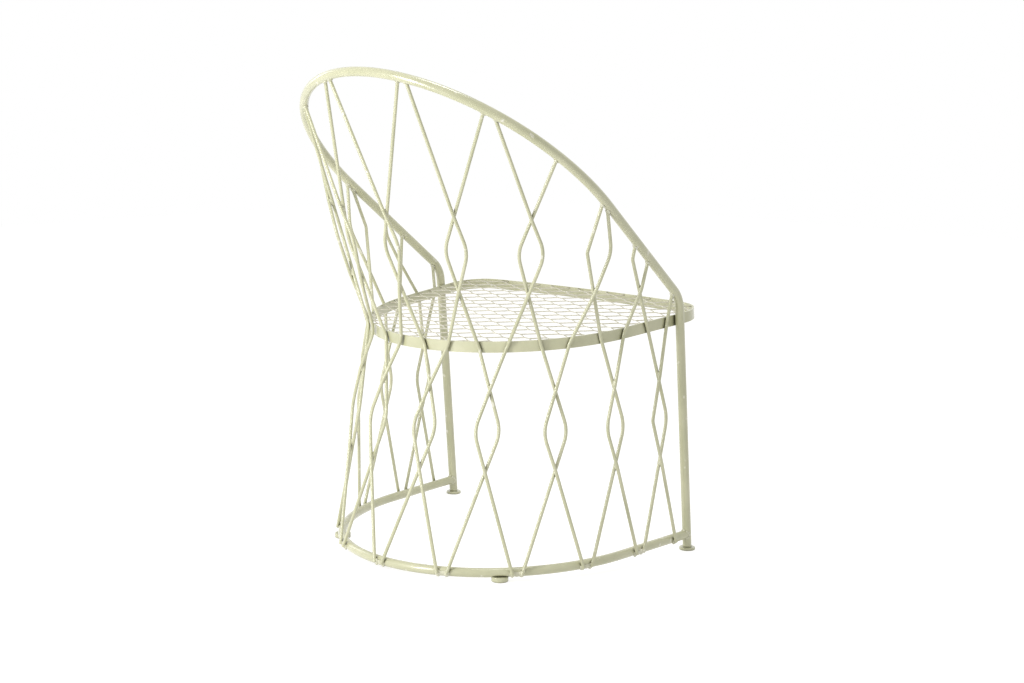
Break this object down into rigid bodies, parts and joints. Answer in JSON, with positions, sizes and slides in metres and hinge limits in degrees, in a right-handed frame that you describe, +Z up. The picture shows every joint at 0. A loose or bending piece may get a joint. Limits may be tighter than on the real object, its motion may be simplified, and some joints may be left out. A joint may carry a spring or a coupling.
{
  "type": "wire mesh chair",
  "caption": "Round-backed metal tub chair: bent tube rim and legs, zigzag wire lattice sides, flat band seat with expanded metal, horseshoe base",
  "frame": {"origin": "middle of the footprint's bounds, on the floor", "axes": "+Z up, the sitter faces -Y, +X is the sitter's left"},
  "size_m": [0.6448, 0.593, 0.8525],
  "materials": {
    "frame_paint": "satin sage green paint",
    "mesh_paint": "satin sage green paint",
    "foot_paint": "satin sage green paint"
  },
  "bodies": {
    "root": {"back_hoop": "frame_paint", "base_ring": "frame_paint", "front_left_foot": "foot_paint", "front_right_foot": "foot_paint", "lattice_left_0_forward": "frame_paint", "lattice_left_1_forward": "frame_paint", "lattice_left_1_rearward": "frame_paint", "lattice_left_2_forward": "frame_paint", "lattice_left_2_rearward": "frame_paint", "lattice_left_3_forward": "frame_paint", "lattice_left_3_rearward": "frame_paint", "lattice_left_4_forward": "frame_paint", "lattice_left_4_rearward": "frame_paint", "lattice_left_5_rearward": "frame_paint", "lattice_right_0_forward": "frame_paint", "lattice_right_1_forward": "frame_paint", "lattice_right_1_rearward": "frame_paint", "lattice_right_2_forward": "frame_paint", "lattice_right_2_rearward": "frame_paint", "lattice_right_3_forward": "frame_paint", "lattice_right_3_rearward": "frame_paint", "lattice_right_4_forward": "frame_paint", "lattice_right_4_rearward": "frame_paint", "lattice_right_5_rearward": "frame_paint", "rear_left_foot": "foot_paint", "rear_right_foot": "foot_paint", "seat_band": "frame_paint", "seat_mesh": "mesh_paint"}
  },
  "joints": []
}
